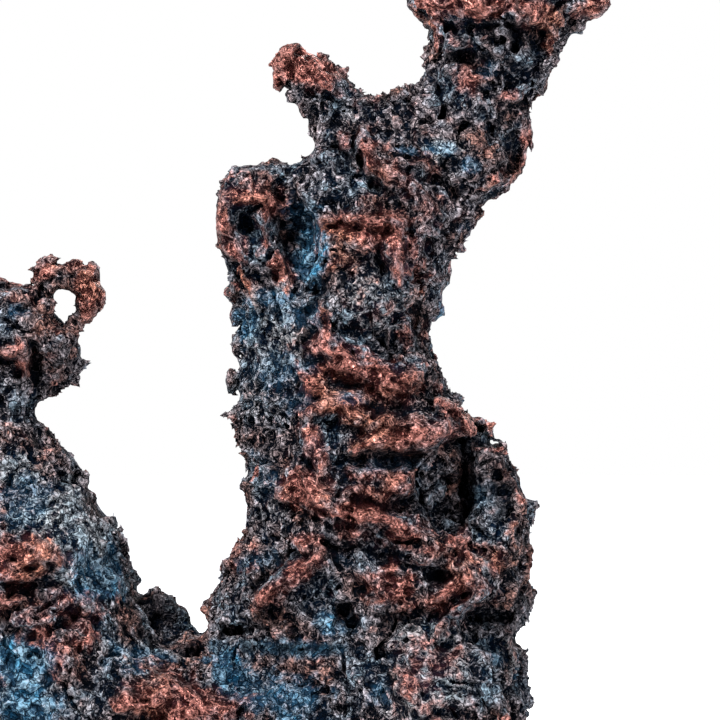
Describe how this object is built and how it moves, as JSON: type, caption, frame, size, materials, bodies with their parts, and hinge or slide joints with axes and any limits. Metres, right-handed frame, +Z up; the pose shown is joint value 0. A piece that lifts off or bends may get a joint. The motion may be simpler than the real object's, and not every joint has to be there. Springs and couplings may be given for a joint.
{
  "type": "native copper nugget",
  "caption": "Branching, pitted nugget of native copper with a forked crown, a side lobe and a hooked left limb, standing on its own foot.",
  "frame": {"origin": "on the resting plane, under the middle of the nugget's bounding box", "axes": "+Z up along the trunk, -Y towards the nugget's front, +X from the left limb towards the side lobe"},
  "size_m": [0.0684, 0.0398, 0.0894],
  "materials": {
    "foot_copper": "dark granular tarnished copper with a blue patina in its hollows",
    "trunk_copper": "tarnished copper with bright folds",
    "side_lobe_copper": "dark granular tarnished copper",
    "crown_copper": "dark tarnished copper with bright edges",
    "spur_copper": "bright pinkish copper",
    "left_limb_copper": "copper under a pale blue-grey patina",
    "left_head_copper": "red-brown tarnished copper"
  },
  "bodies": {
    "root": {"foot": "foot_copper", "trunk": "trunk_copper", "side_lobe": "side_lobe_copper", "crown": "crown_copper", "spur": "spur_copper", "left_limb": "left_limb_copper", "left_head": "left_head_copper"}
  },
  "joints": []
}
